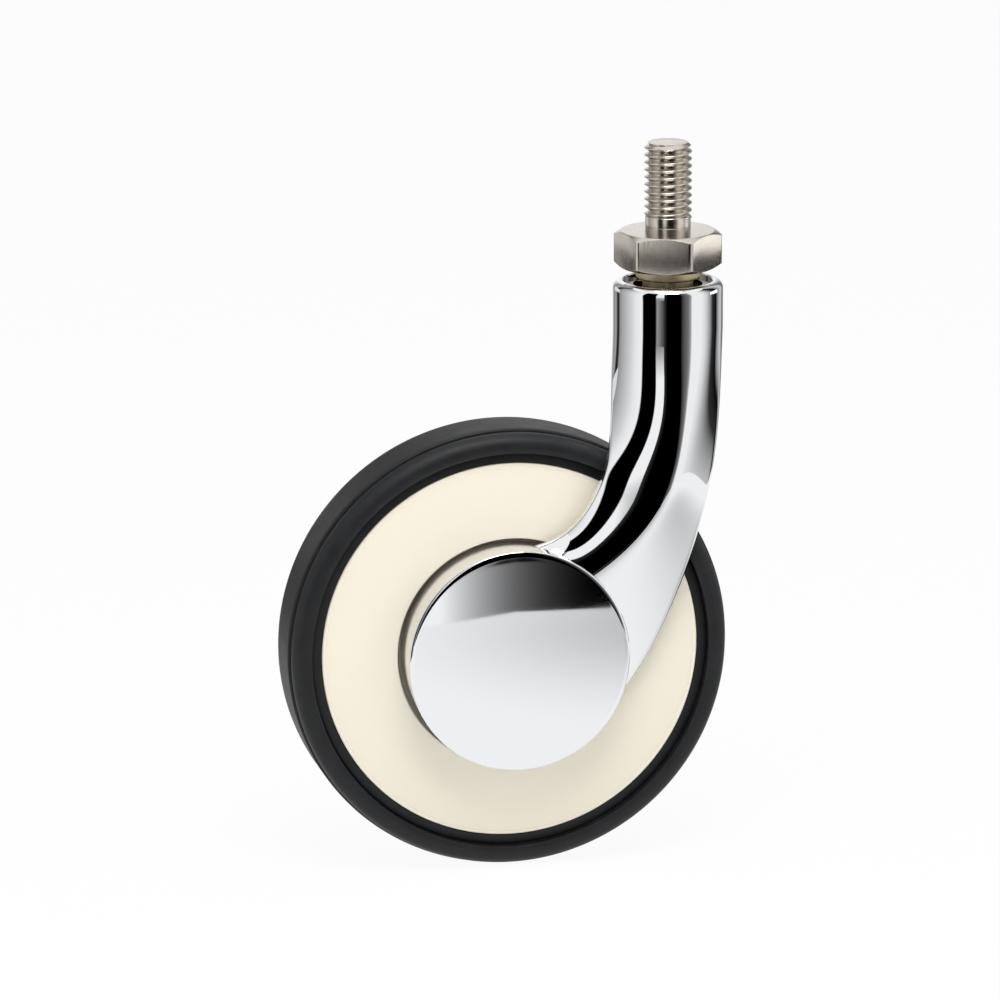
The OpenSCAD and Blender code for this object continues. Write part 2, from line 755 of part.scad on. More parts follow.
threaded_stem();
swivel_inner_ring_upper();
swivel_inner_ring_lower();
swivel_spacer();
spindle_retaining_ring();
swivel_outer_ring_upper();
swivel_outer_ring_lower();
swivel_balls_upper();
swivel_balls_lower();
swivel_cage_upper();
swivel_cage_lower();
swivel_shields_upper();
swivel_shields_lower();
housing_circlip();
arm();
boss_cap();
axle_pin();
axle_washer();
axle_retaining_ring();
wheel_inner_ring_near();
wheel_inner_ring_far();
wheel_spacer();
wheel_outer_ring_near();
wheel_outer_ring_far();
wheel_balls_near();
wheel_balls_far();
wheel_cage_near();
wheel_cage_far();
wheel_shields_near();
wheel_shields_far();
wheel_core();
tyre();
hub_cover();
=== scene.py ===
"""Single-arm castor: threaded stem, chrome-plated arm and cap, cream wheel and black rubber tyre."""

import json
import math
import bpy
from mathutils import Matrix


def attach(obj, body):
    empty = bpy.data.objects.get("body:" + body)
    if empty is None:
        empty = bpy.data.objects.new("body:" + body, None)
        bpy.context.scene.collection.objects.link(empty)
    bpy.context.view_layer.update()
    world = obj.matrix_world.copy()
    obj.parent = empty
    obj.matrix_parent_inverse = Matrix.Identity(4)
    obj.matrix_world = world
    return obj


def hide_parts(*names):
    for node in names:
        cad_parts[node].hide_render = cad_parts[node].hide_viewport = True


bl_info = {
    "name": "Single-arm castor",
    "version": (1, 0, 0),
    "blender": (4, 5, 0),
    "location": "View3D > Sidebar > Castor",
    "description": "Dresses a swivelling furniture castor: stem, arm, cap, wheel, tyre and a plain stage",
    "category": "Object",
}

import bpy
from bpy.props import FloatProperty, FloatVectorProperty, PointerProperty
from mathutils import Matrix, Vector

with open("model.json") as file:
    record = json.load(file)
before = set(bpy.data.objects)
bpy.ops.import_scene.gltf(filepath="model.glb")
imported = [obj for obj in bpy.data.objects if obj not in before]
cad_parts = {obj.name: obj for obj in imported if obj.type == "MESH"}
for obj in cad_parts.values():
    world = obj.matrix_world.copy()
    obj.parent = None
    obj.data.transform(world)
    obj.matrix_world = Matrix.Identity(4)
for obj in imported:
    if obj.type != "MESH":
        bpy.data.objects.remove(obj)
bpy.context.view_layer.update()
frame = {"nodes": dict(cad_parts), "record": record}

MM = 0.001
AXLE = Vector((-28.5, 0.0, -69.6))  # the wheel's centre, in millimetres from the seat face


def linear(code):
    """An sRGB hex colour as linear red, green and blue"""
    parts = [int(code[i:i + 2], 16) / 255 for i in (1, 3, 5)]
    return tuple(c / 12.92 if c <= 0.04045 else ((c + 0.055) / 1.055) ** 2.4 for c in parts)


def colour(name, code):
    """A colour that a user may change, written as sRGB hex"""
    return FloatVectorProperty(name=name, description=f"Colour of the {name.lower()}", subtype="COLOR",
                               size=3, min=0, max=1, default=linear(code))


def length(name, description, millimetres):
    """A length that a user may change, written in millimetres"""
    return FloatProperty(name=name, description=description, default=millimetres * MM, min=0, unit="LENGTH",
                         precision=5)


class CastorStemSizes(bpy.types.PropertyGroup):
    """Sizes of the stem's visible stretch"""

    thread_d: length("Thread", "Diameter over the thread's crests", 8)
    pitch: length("Pitch", "Distance between the crests", 1.25)
    height: length("Height", "Height of the stem above the seat face", 15)
    end_bevel: length("End bevel", "Bevel round the stem's end", 0.6)
    shank_h: length("Shank", "Height of the plain shank", 2.6)
    shank_d: length("Shank diameter", "Diameter of the plain shank", 7.64)
    hex_af: length("Across flats", "Size of the hexagon across its flats", 16)
    hex_h: length("Hexagon height", "Height of the hexagon", 6.2)
    hex_wear: length("Worn edges", "Rounding of the hexagon's edges", 0.24)
    collar_d: length("Collar", "Diameter of the collar under the hexagon", 10.8)


class CastorArmSizes(bpy.types.PropertyGroup):
    """Sizes of the arm's rim and of its cap"""

    rim_round: length("Rim", "Rounding of the tube's rim", 1.4)
    cap_roll: length("Cap roll", "Width of the cap's rolled edge", 0.9)
    cap_dome: length("Cap dome", "Rise of the cap's face", 0.25)


class CastorWheelSizes(bpy.types.PropertyGroup):
    """Sizes of the wheel and the tyre"""

    tyre_d: length("Tyre", "Diameter over the tread", 75.4)
    tyre_w: length("Width", "Width of the tyre", 14.6)
    face_d: length("Face", "Diameter of the wheel's cream face", 64.4)
    lip: length("Lip", "Width of the lip round the cream face", 0.55)
    groove_w: length("Groove", "Width of the tyre's narrow groove", 0.6)


class CastorFinishes(bpy.types.PropertyGroup):
    """Colours of the castor's finishes"""

    chrome: colour("Chrome plating", "#eeeff1")
    nickel: colour("Nickel plating", "#d2cbc0")
    cream: colour("Cream plastic", "#f1ead8")
    rubber: colour("Black rubber", "#17181a")
    bronzed: colour("Bronzed spring steel", "#5b4730")
    steel: colour("Bearing steel", "#a3a6aa")
    cage: colour("Cage moulding", "#6b4a2b")


class CastorStage(bpy.types.PropertyGroup):
    """Camera and light"""

    azimuth: FloatProperty(name="Azimuth", description="Camera's turn from the wheel's visible side",
                           default=math.radians(-11.94), subtype="ANGLE", unit="ROTATION")
    elevation: FloatProperty(name="Elevation", description="Camera's height as an angle",
                             default=math.radians(13.58), subtype="ANGLE", unit="ROTATION")
    roll: FloatProperty(name="Roll", description="Camera's roll", default=math.radians(-0.18),
                        subtype="ANGLE", unit="ROTATION")
    distance: length("Distance", "Camera's distance from its target", 1346.06)
    lens: FloatProperty(name="Lens", description="Focal length on a 36 mm sensor, in millimetres",
                        default=288, min=20, max=500)
    key: FloatProperty(name="Top light", description="Power of the soft light overhead", default=3.0, min=0,
                       unit="POWER")
    fill: FloatProperty(name="Side light", description="Power of the soft light at the left", default=1.0,
                        min=0, unit="POWER")
    counter: FloatProperty(name="Right light", description="Power of the soft light at the right",
                           default=0.8, min=0, unit="POWER")
    room: FloatProperty(name="Room light", description="Strength of the light from all round", default=0.45,
                        min=0, max=1)


# Small helpers for modelling


def deselect():
    """Leaves edit mode and selects nothing"""
    if bpy.context.object and bpy.context.object.mode != "OBJECT":
        bpy.ops.object.mode_set(mode="OBJECT")
    bpy.ops.object.select_all(action="DESELECT")


def pick(*pieces):
    """Selects the pieces, the first of them active"""
    deselect()
    for piece in pieces:
        piece.select_set(True)
    bpy.context.view_layer.objects.active = pieces[0]


def sealed(piece):
    """Merges the seam's doubles and turns the faces outwards"""
    pick(piece)
    bpy.ops.object.mode_set(mode="EDIT")
    bpy.ops.mesh.select_all(action="SELECT")
    bpy.ops.mesh.remove_doubles(threshold=2e-7)
    bpy.ops.mesh.fill_holes(sides=0)
    bpy.ops.mesh.select_all(action="SELECT")
    bpy.ops.mesh.normals_make_consistent(inside=False)
    bpy.ops.object.mode_set(mode="OBJECT")
    return piece


def turned(name, outline, steps=160):
    """Bends a circle onto an outline of (radius, height) points in millimetres and spins it round Z"""
    deselect()
    bpy.ops.mesh.primitive_circle_add(vertices=len(outline), radius=1)
    piece = bpy.context.object
    piece.name = name
    for vertex, (r, z) in zip(piece.data.vertices, outline):
        vertex.co = (r * MM, 0, z * MM)
    bpy.ops.object.mode_set(mode="EDIT")
    bpy.ops.mesh.select_mode(type="EDGE")
    bpy.ops.object.mode_set(mode="OBJECT")
    for edge in piece.data.edges:
        edge.select = all(abs(piece.data.vertices[i].co.x) < 1e-9 for i in edge.vertices)
    bpy.ops.object.mode_set(mode="EDIT")
    bpy.ops.mesh.delete(type="EDGE_FACE")
    bpy.ops.mesh.select_all(action="SELECT")
    bpy.ops.mesh.spin(steps=steps, angle=2 * math.pi, center=(0, 0, 0), axis=(0, 0, 1))
    bpy.ops.mesh.select_mode(type="VERT")
    return sealed(piece)


def wrapped(name, across, along, place):
    """Wraps a grid round the surface that place(u, v) gives in millimetres, closed along u"""
    deselect()
    bpy.ops.mesh.primitive_grid_add(x_subdivisions=across, y_subdivisions=along, size=2)
    piece = bpy.context.object
    piece.name = name
    for vertex in piece.data.vertices:
        u = round((vertex.co.x + 1) / 2 * across) / across
        v = round((vertex.co.y + 1) / 2 * along) / along
        vertex.co = Vector(place(u, v)) * MM
    return piece


def on_axle(piece):
    """Moves a turned piece to the axle, its Z axis towards the visible side"""
    pick(piece)
    piece.rotation_euler = (math.pi / 2, 0, 0)
    piece.location = AXLE * MM
    bpy.ops.object.transform_apply(location=True, rotation=True, scale=True)
    return piece


def combined(piece, other, operation):
    """Unites, cuts or intersects two solids"""
    pick(piece)
    bpy.ops.object.modifier_add(type="BOOLEAN")
    step = piece.modifiers[-1]
    step.operation = operation
    step.solver = "MANIFOLD"
    step.object = other
    bpy.ops.object.modifier_apply(modifier=step.name)
    bpy.data.objects.remove(other)
    return piece


def rounded(piece, width, segments=3, angle=25):
    """Bevels the sharp edges"""
    pick(piece)
    bpy.ops.object.modifier_add(type="BEVEL")
    step = piece.modifiers[-1]
    step.width = width
    step.segments = segments
    step.limit_method = "ANGLE"
    step.angle_limit = math.radians(angle)
    bpy.ops.object.modifier_apply(modifier=step.name)
    return piece


def smooth(piece, angle=32):
    """Shades smooth, with sharp edges past the angle"""
    pick(piece)
    bpy.ops.object.shade_smooth_by_angle(angle=math.radians(angle))
    return piece


def dressed(piece, material, body, slot, *nodes):
    """Gives a finished piece its material, its body and the nodes that it stands for; the slot argument is
    not used
    """
    piece.data.materials.clear()
    piece.data.materials.append(material)
    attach(piece, body)
    if nodes:
        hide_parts(*nodes)
    deselect()
    return piece


def arc(centre, r, start, end, steps=8):
    """Points of a round stretch of an outline, angles in degrees"""
    turns = [math.radians(start + (end - start) * i / steps) for i in range(steps + 1)]
    return [(centre[0] + r * math.cos(a), centre[1] + r * math.sin(a)) for a in turns]


# Small helpers for materials


def add(tree, kind, inputs=None, **settings):
    """Adds a node, sets it up, and fills or links its inputs"""
    node = tree.nodes.new(kind)
    for key, value in settings.items():
        setattr(node, key, value)
    for key, value in (inputs or {}).items():
        if isinstance(value, bpy.types.NodeSocket):
            tree.links.new(value, node.inputs[key])
        else:
            node.inputs[key].default_value = value
    return node


def blank(name):
    """A new material and its empty node tree"""
    material = bpy.data.materials.new(name)
    material.use_nodes = True
    material.node_tree.nodes.clear()
    return material, material.node_tree


def rgba(values):
    """A linear colour with full alpha"""
    return (*values, 1.0)


def shaded(values, factor):
    """A lighter or darker tone of a linear colour"""
    return tuple(min(1.0, c * factor) for c in values) + (1.0,)


def per_metre(millimetres):
    """A noise scale that gives spots of this size on Object coordinates"""
    return 1 / (millimetres * MM)


def chrome_plate(finish):
    """Die-cast zinc under mirror-bright chrome: no grain, only a breath of haze from the polishing mop. Arm
    and cap share it"""
    made = bpy.data.materials.get("chrome_plated_zinc")
    if made:
        return made
    material, tree = blank("chrome_plated_zinc")
    where = add(tree, "ShaderNodeTexCoord").outputs["Object"]
    haze = add(tree, "ShaderNodeTexNoise", {"Vector": where, "Scale": per_metre(9), "Detail": 3.0})
    rough = add(tree, "ShaderNodeMapRange", {"Value": haze.outputs[0], "From Min": 0.3, "From Max": 0.7,
                                             "To Min": 0.018, "To Max": 0.04})
    shader = add(tree, "ShaderNodeBsdfPrincipled", {"Base Color": rgba(finish.chrome), "Metallic": 1.0,
                                                    "Roughness": rough.outputs[0]})
    add(tree, "ShaderNodeOutputMaterial", {"Surface": shader.outputs[0]})
    return material


def nickel_plate(finish):
    """Turned steel under warm nickel: soft gloss in a slightly uneven tone, with fine scratches"""
    material, tree = blank("nickel_plated_steel")
    where = add(tree, "ShaderNodeTexCoord").outputs["Object"]
    tone = add(tree, "ShaderNodeTexNoise", {"Vector": where, "Scale": per_metre(2.5), "Detail": 6.0})
    colours = add(tree, "ShaderNodeMix", {"Factor": tone.outputs[0], "A": shaded(finish.nickel, 0.88),
                                          "B": shaded(finish.nickel, 1.1)}, data_type="RGBA")
    scratches = []
    # Real scratches are about 0.05 mm wide. They are drawn at 0.1 mm and 2 mm long, so that they show
    for turn, seed in ((28, 3.0), (-47, 11.0), (71, 19.0)):
        lay = add(tree, "ShaderNodeMapping", {"Vector": where,
                                              "Rotation": (0, math.radians(turn), math.radians(20)),
                                              "Location": (seed * MM, 0, 0), "Scale": (1, 1, 0.05)})
        line = add(tree, "ShaderNodeTexNoise", {"Vector": lay.outputs[0], "Scale": per_metre(0.16),
                                                "Detail": 2.0})
        scratch = add(tree, "ShaderNodeMapRange", {"Value": line.outputs[0], "From Min": 0.66,
                                                   "From Max": 0.72})
        scratches.append(scratch.outputs[0])
    two = add(tree, "ShaderNodeMath", {0: scratches[0], 1: scratches[1]}, operation="MAXIMUM")
    three = add(tree, "ShaderNodeMath", {0: two.outputs[0], 1: scratches[2]}, operation="MAXIMUM")
    grain = add(tree, "ShaderNodeTexNoise", {"Vector": where, "Scale": per_metre(0.12), "Detail": 4.0})
    height = add(tree, "ShaderNodeMath", {0: three.outputs[0], 1: -0.6, 2: grain.outputs[0]},
                 operation="MULTIPLY_ADD")
    bump = add(tree, "ShaderNodeBump", {"Height": height.outputs[0], "Strength": 0.16,
                                        "Distance": 0.05 * MM})
    rough = add(tree, "ShaderNodeMapRange", {"Value": grain.outputs[0], "To Min": 0.12, "To Max": 0.26})
    # In the recess under the hexagon the plating is thin and left matt, so its brassy strike shows
    place = add(tree, "ShaderNodeSeparateXYZ", {"Vector": where})
    thin = add(tree, "ShaderNodeMapRange", {"Value": place.outputs["Z"], "From Min": -6.3 * MM,
                                            "From Max": -6.6 * MM})
    brassy = add(tree, "ShaderNodeMix", {"Factor": thin.outputs[0], "A": colours.outputs["Result"],
                                         "B": rgba(linear("#e0d3ae"))}, data_type="RGBA")
    matt = add(tree, "ShaderNodeMath", {0: thin.outputs[0], 1: 0.34, 2: rough.outputs[0]},
               operation="MULTIPLY_ADD")
    shader = add(tree, "ShaderNodeBsdfPrincipled", {"Base Color": brassy.outputs["Result"], "Metallic": 1.0,
                                                    "Roughness": matt.outputs[0], "Normal": bump.outputs[0]})
    add(tree, "ShaderNodeOutputMaterial", {"Surface": shader.outputs[0]})
    return material


def cream_moulding(finish):
    """Injection-moulded ABS in cream: high gloss from a polished mould, with a hint of flow in its tone"""
    material, tree = blank("cream_gloss_abs")
    where = add(tree, "ShaderNodeTexCoord").outputs["Object"]
    flow = add(tree, "ShaderNodeTexNoise", {"Vector": where, "Scale": per_metre(18), "Detail": 2.0})
    colours = add(tree, "ShaderNodeMix", {"Factor": flow.outputs[0], "A": shaded(finish.cream, 0.985),
                                          "B": shaded(finish.cream, 1.015)}, data_type="RGBA")
    ripple = add(tree, "ShaderNodeTexNoise", {"Vector": where, "Scale": per_metre(1.2), "Detail": 2.0})
    bump = add(tree, "ShaderNodeBump", {"Height": ripple.outputs[0], "Strength": 0.03,
                                        "Distance": 0.05 * MM})
    shader = add(tree, "ShaderNodeBsdfPrincipled", {"Base Color": colours.outputs["Result"],
                                                    "Roughness": 0.2, "IOR": 1.54,
                                                    "Normal": bump.outputs[0]})
    add(tree, "ShaderNodeOutputMaterial", {"Surface": shader.outputs[0]})
    return material


def black_rubber(finish):
    """Moulded rubber filled with carbon black: matt, finely grained by the mould, clouded by dust"""
    material, tree = blank("black_moulded_rubber")
    where = add(tree, "ShaderNodeTexCoord").outputs["Object"]
    # Grain of 0.15 mm, drawn at 0.3 mm so that it shows, laid in slanting streaks
    lay = add(tree, "ShaderNodeMapping", {"Vector": where, "Rotation": (0.6, 0.4, 0.7),
                                          "Scale": (1, 0.4, 1)})
    grain = add(tree, "ShaderNodeTexNoise", {"Vector": lay.outputs[0], "Scale": per_metre(0.3),
                                             "Detail": 4.0})
    cloud = add(tree, "ShaderNodeTexNoise", {"Vector": where, "Scale": per_metre(3), "Detail": 5.0})
    both = add(tree, "ShaderNodeMath", {0: grain.outputs[0], 1: cloud.outputs[0]}, operation="MULTIPLY")
    tone = add(tree, "ShaderNodeMapRange", {"Value": both.outputs[0], "From Min": 0.1, "From Max": 0.45})
    colours = add(tree, "ShaderNodeMix", {"Factor": tone.outputs[0], "A": shaded(finish.rubber, 0.8),
                                          "B": shaded(finish.rubber, 1.5)}, data_type="RGBA")
    bump = add(tree, "ShaderNodeBump", {"Height": both.outputs[0], "Strength": 0.35, "Distance": 0.08 * MM})
    rough = add(tree, "ShaderNodeMapRange", {"Value": cloud.outputs[0], "To Min": 0.42, "To Max": 0.6})
    shader = add(tree, "ShaderNodeBsdfPrincipled", {"Base Color": colours.outputs["Result"],
                                                    "Roughness": rough.outputs[0], "IOR": 1.52,
                                                    "Specular IOR Level": 0.3, "Normal": bump.outputs[0]})
    add(tree, "ShaderNodeOutputMaterial", {"Surface": shader.outputs[0]})
    return material


def plain_metal(name, tint, rough_low, rough_high, grain_mm):
    """A bare or blued steel: its grain is the lay left by grinding, turning or stamping"""
    material, tree = blank(name)
    where = add(tree, "ShaderNodeTexCoord").outputs["Object"]
    grain = add(tree, "ShaderNodeTexNoise", {"Vector": where, "Scale": per_metre(grain_mm), "Detail": 4.0})
    colours = add(tree, "ShaderNodeMix", {"Factor": grain.outputs[0], "A": shaded(tint, 0.85),
                                          "B": shaded(tint, 1.15)}, data_type="RGBA")
    rough = add(tree, "ShaderNodeMapRange", {"Value": grain.outputs[0], "To Min": rough_low,
                                             "To Max": rough_high})
    bump = add(tree, "ShaderNodeBump", {"Height": grain.outputs[0], "Strength": 0.1, "Distance": 0.02 * MM})
    shader = add(tree, "ShaderNodeBsdfPrincipled", {"Base Color": colours.outputs["Result"], "Metallic": 1.0,
                                                    "Roughness": rough.outputs[0], "Normal": bump.outputs[0]})
    add(tree, "ShaderNodeOutputMaterial", {"Surface": shader.outputs[0]})
    return material


def cage_moulding(finish):
    """Glass-filled nylon of the ball cages: matt, slightly mottled by its fibres"""
    material, tree = blank("glass_filled_nylon")
    where = add(tree, "ShaderNodeTexCoord").outputs["Object"]
    fibres = add(tree, "ShaderNodeTexNoise", {"Vector": where, "Scale": per_metre(0.3), "Detail": 4.0})
    colours = add(tree, "ShaderNodeMix", {"Factor": fibres.outputs[0], "A": shaded(finish.cage, 0.8),
                                          "B": shaded(finish.cage, 1.2)}, data_type="RGBA")
    bump = add(tree, "ShaderNodeBump", {"Height": fibres.outputs[0], "Strength": 0.2, "Distance": 0.03 * MM})
    shader = add(tree, "ShaderNodeBsdfPrincipled", {"Base Color": colours.outputs["Result"],
                                                    "Roughness": 0.55, "IOR": 1.53,
                                                    "Normal": bump.outputs[0]})
    add(tree, "ShaderNodeOutputMaterial", {"Surface": shader.outputs[0]})
    return material


# Pieces

# Hidden sizes of the stem, the swivel's housing and the boss, in millimetres, as the solids have them
COLLAR_H, NECK_END = 1.9, -10.2
RING_TOP, RING_END, SPINDLE_END = -23.2, -23.9, -24.9
NECK_R, SPINDLE_R, RING_R, HOUSING_R = 4.29, 3, 2.6, 7.5
BOSS_BACK, BOSS_FACE, CAP_PLUG_R = 3.4, 13.35, 9
THREAD_DEPTH = 0.6134  # depth of a metric thread as a share of its pitch
HEX_TURN = math.radians(42.3 - 90)  # the hexagon's turn in the photograph


class CASTOR_OT_stem(bpy.types.Operator):
    """Model the threaded stem with its shank, hexagon, collar and spindle"""

    bl_idname = "castor.stem"
    bl_label = "Threaded stem"

    def execute(self, context):
        size = context.scene.castor_stem
        pitch, top, shank = size.pitch / MM, size.height / MM, size.shank_h / MM
        crest = size.thread_d / 2 / MM
        root = crest - THREAD_DEPTH * pitch
        shank_r, bevel = size.shank_d / 2 / MM, size.end_bevel / MM
        # One pitch of the thread: rounded crest, flanks at 60 degrees, rounded root
        profile = [(0.0, root), (0.06, root + 0.03), (0.12, root + 0.1), (0.44, crest - 0.1),
                   (0.49, crest - 0.02), (0.53, crest), (0.57, crest), (0.61, crest - 0.02),
                   (0.66, crest - 0.1), (0.94, root + 0.03), (1.0, root)]
        # The thread starts inside the shank
        low = shank - 0.4
        turns = math.ceil((top - low) / pitch) + 2
        around = 72

        def helix(u, v):
            turn = v * turns
            share, r = profile[round(u * (len(profile) - 1))]
            angle = 2 * math.pi * turn
            return (r * math.cos(angle), r * math.sin(angle), low - 1.5 * pitch + (turn + share) * pitch)

        thread = wrapped("thread", len(profile) - 1, turns * around, helix)
        pick(thread)
        bpy.ops.object.mode_set(mode="EDIT")
        bpy.ops.mesh.select_all(action="SELECT")
        bpy.ops.mesh.remove_doubles(threshold=1e-6)
        for height, outwards in ((low, -1), (top + 0.4, 1)):
            bpy.ops.mesh.select_all(action="SELECT")
            bpy.ops.mesh.bisect(plane_co=(0, 0, height * MM), plane_no=(0, 0, outwards), use_fill=True,
                                clear_outer=True, threshold=1e-8)
        bpy.ops.object.mode_set(mode="OBJECT")
        sealed(thread)
        blank_r = crest + 0.3
        envelope = turned("envelope", [
            (0, low - 0.2), (blank_r, low - 0.2), (blank_r, top - (blank_r - crest + bevel)),
            (crest - bevel - 0.06, top - 0.02), (crest - bevel - 0.12, top), (0, top)], 96)
        combined(thread, envelope, "INTERSECT")

        collar_r, hex_h = size.collar_d / 2 / MM, size.hex_h / MM
        collar_end = -hex_h - COLLAR_H
        # The shank carries a fine turned line and runs out to the thread's root
        body = turned("turned_body", [
            (0, -0.5), (shank_r, -0.5), (shank_r, 0.78), (shank_r - 0.05, 0.83), (shank_r - 0.05, 0.9),
            (shank_r, 0.95), (shank_r, shank - 0.16), (shank_r - 0.04, shank - 0.06), (root, shank + 0.34),
            (0, shank + 0.34)], 128)
        lower = turned("spindle", [(0, 0.5 - hex_h), (collar_r, 0.5 - hex_h)]
                       + arc((collar_r - 0.4, collar_end + 0.4), 0.4, 0, -90)
                       + [(NECK_R, collar_end), (NECK_R, NECK_END), (SPINDLE_R, NECK_END),
                          (SPINDLE_R, RING_TOP), (RING_R, RING_TOP), (RING_R, RING_END),
                          (SPINDLE_R, RING_END), (SPINDLE_R, SPINDLE_END + 0.3),
                          (SPINDLE_R - 0.3, SPINDLE_END), (0, SPINDLE_END)], 128)
        seat_r = size.hex_af / 2 / MM - 0.15
        corner = size.hex_af / 2 / MM / math.cos(math.radians(30))
        drop = (corner + 0.5 - seat_r) * math.tan(math.radians(30))
        cone = turned("bevels", [(0, 0), (seat_r, 0), (corner + 0.5, -drop), (corner + 0.5, drop - hex_h),
                                 (seat_r, -hex_h), (0, -hex_h)], 192)
        deselect()
        bpy.ops.mesh.primitive_cylinder_add(vertices=6, radius=corner * MM, depth=(hex_h + 1) * MM,
                                            location=(0, 0, -hex_h / 2 * MM), rotation=(0, 0, HEX_TURN))
        hexagon = context.object
        hexagon.name = "hexagon"
        bpy.ops.object.transform_apply(location=True, rotation=True, scale=True)
        rounded(hexagon, size.hex_wear * 2, 3)
        combined(hexagon, cone, "INTERSECT")
        rounded(hexagon, size.hex_wear, 3, 18)
        for part in (body, lower, thread):
            combined(hexagon, part, "UNION")
        hexagon.name = "stem_with_thread"
        smooth(hexagon, 38)
        dressed(hexagon, nickel_plate(context.scene.castor_finish), "stem", "nickel_plate", "threaded_stem")
        return {"FINISHED"}


# Control points of the arm's two edges, in millimetres, in the plane of the wheel
TUBE_R, TUBE_END, RIM_Z = 9.3, -16.05, -8.45
BOSS_R = 18.85
LAND_R = BOSS_R - 0.7
# Beside the wheel: depth of the arm's back, widest line and front, and the roundings of its crest and edges
BACK_Y, RIDGE_Y, FRONT_Y = -8.0, -8.6, -13.6
CREST_ROUND, EDGE_ROUND, INNER_ROUND = 1.5, 1.5, 1.8
# Distance of the crest from the inner edge: at its most in the bend, and at the boss
CREST_BEND, CREST_BOSS = 10.3, 7.7
LAND = (math.cos(math.radians(68)), -math.sin(math.radians(68)))
INNER_EDGE = [(-TUBE_R, TUBE_END), (-TUBE_R, TUBE_END - 16.2), (AXLE.x + 14.4, AXLE.z + 25.9),
              (AXLE.x + 12, AXLE.z + LAND_R), (AXLE.x, AXLE.z + LAND_R)]
OUTER_EDGE = [(TUBE_R, TUBE_END), (TUBE_R, TUBE_END - 6.4), (AXLE.x + 34.2, AXLE.z + 19.4),
              (AXLE.x + LAND_R * LAND[0] - 21 * LAND[1], AXLE.z + LAND_R * LAND[1] + 21 * LAND[0]),
              (AXLE.x + LAND_R * LAND[0], AXLE.z + LAND_R * LAND[1])]


def mix(a, b, t):
    """The value at t between a and b"""
    return a + (b - a) * t


def ease(x):
    """A step from 0 to 1 that starts and ends without a bend"""
    x = max(0.0, min(1.0, x))
    return x * x * x * (x * (6 * x - 15) + 10)


def bezier(points, t):
    """The point at t of the curve that these control points pull"""
    while len(points) > 1:
        points = [(mix(a[0], b[0], t), mix(a[1], b[1], t)) for a, b in zip(points, points[1:])]
    return points[0]


# Share of the section's outer quarter that the even slope takes, before the edge rounds
SLOPE_SHARE = 0.7


def wedge(share, width, height):
    """The arm's front from its crest to its outer edge: it turns quickly to an even slope, then rounds
    the edge. Gives the distance from the crest and the drop below it"""
    slope = height / width
    for _ in range(6):
        tilt = math.atan(slope)
        start = width - EDGE_ROUND * (1 - math.sin(tilt))
        slope = (height - EDGE_ROUND * math.cos(tilt)) / (math.hypot(start, CREST_ROUND) - CREST_ROUND)
    if share < SLOPE_SHARE:
        x = start * (share / SLOPE_SHARE) ** 1.4
        return x, slope * (math.hypot(x, CREST_ROUND) - CREST_ROUND)
    turn = mix(math.pi / 2 - tilt, 0, (share - SLOPE_SHARE) / (1 - SLOPE_SHARE))
    return width - EDGE_ROUND * (1 - math.cos(turn)), height - EDGE_ROUND * math.sin(turn)


def shoulder(lean, width, height):
    """The arm's front from its crest to its inner edge: one round sweep, then a tighter one to the widest
    line. Gives the distance from the crest and the drop below it where the surface leans by this angle"""
    sweep = (width ** 2 + height ** 2 - 2 * width * INNER_ROUND) / (2 * (height - INNER_ROUND))
    if math.sin(lean) < (width - INNER_ROUND) / (sweep - INNER_ROUND):
        return sweep * math.sin(lean), sweep * (1 - math.cos(lean))
    return width - INNER_ROUND * (1 - math.sin(lean)), height - INNER_ROUND * math.cos(lean)


def arm_section(t, turn):
    """A point of the arm's skin: t runs from the tube to the boss, turn goes round the section"""
    left, right = bezier(INNER_EDGE, t), bezier(OUTER_EDGE, t)
    width = math.dist(left, right)
    # The back comes forward past the tyre, the front and the widest line with it, and the crest moves
    # from the tube's middle outwards in the bend and in again towards the boss
    back = mix(TUBE_R, BACK_Y, ease((t - 0.09) / 0.34))
    forward = ease(t / 0.5)
    front, ridge = mix(-TUBE_R, FRONT_Y, forward), mix(0, RIDGE_Y, forward)
    crest = mix(mix(TUBE_R, CREST_BEND, ease(t / 0.38)), CREST_BOSS, ease((t - 0.32) / 0.48))
    c, s = math.cos(turn), math.sin(turn)
    x = crest + c * (width - crest if c > 0 else crest)
    depth = ridge + s * (back - ridge if s > 0 else ridge - front)
    if c < 0 and s < 0:
        along, drop = shoulder(math.asin(-c), crest, ridge - front)
        x, depth = crest - along, front + drop
    if c > 0 and s < 0:
        along, drop = wedge(math.asin(c) / (math.pi / 2), width - crest, ridge - front)
        x, depth = mix(x, crest + along, forward), mix(depth, front + drop, forward)
    return (mix(left[0], right[0], x / width), depth, mix(left[1], right[1], x / width))


